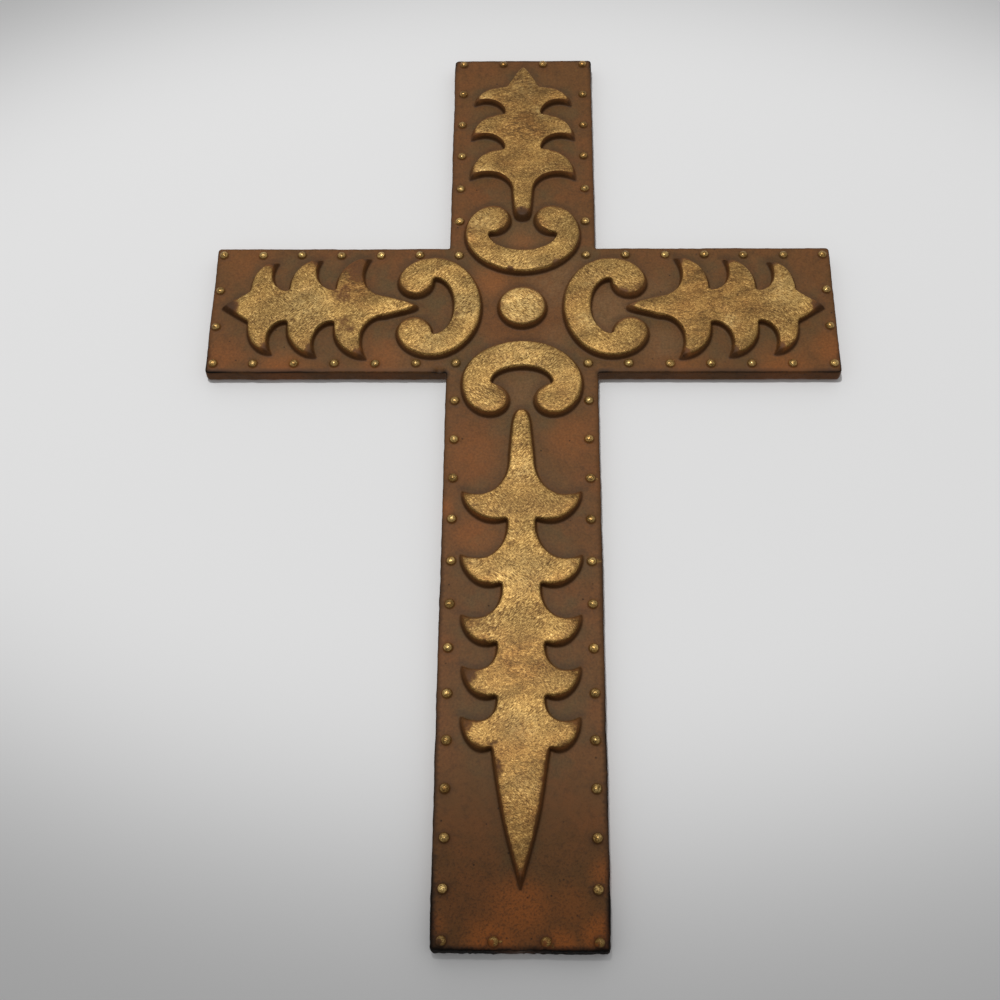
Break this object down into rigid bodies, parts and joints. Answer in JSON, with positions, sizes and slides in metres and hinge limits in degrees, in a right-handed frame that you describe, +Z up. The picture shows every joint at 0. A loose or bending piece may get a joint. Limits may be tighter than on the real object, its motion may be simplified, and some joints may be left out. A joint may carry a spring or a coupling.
{
  "type": "wall cross",
  "caption": "Flat cast iron Latin cross for hanging on a wall, with raised gilt leaf sprays, scrolls and a round boss inside a border of studs.",
  "frame": {"origin": "centre of the crossing, on the flat back face that lies against the wall", "axes": "+Z up along the upright, +X to the viewer's right along the crossbar, +Y out of the back into the wall, so the decorated front faces -Y"},
  "size_m": [0.2666, 0.01, 0.4064],
  "materials": {
    "bronzed_cast_iron": "worn brown bronze paint, with gold paint on the tops of the relief and the studs"
  },
  "bodies": {
    "root": {"wall_cross": "bronzed_cast_iron"}
  },
  "joints": []
}
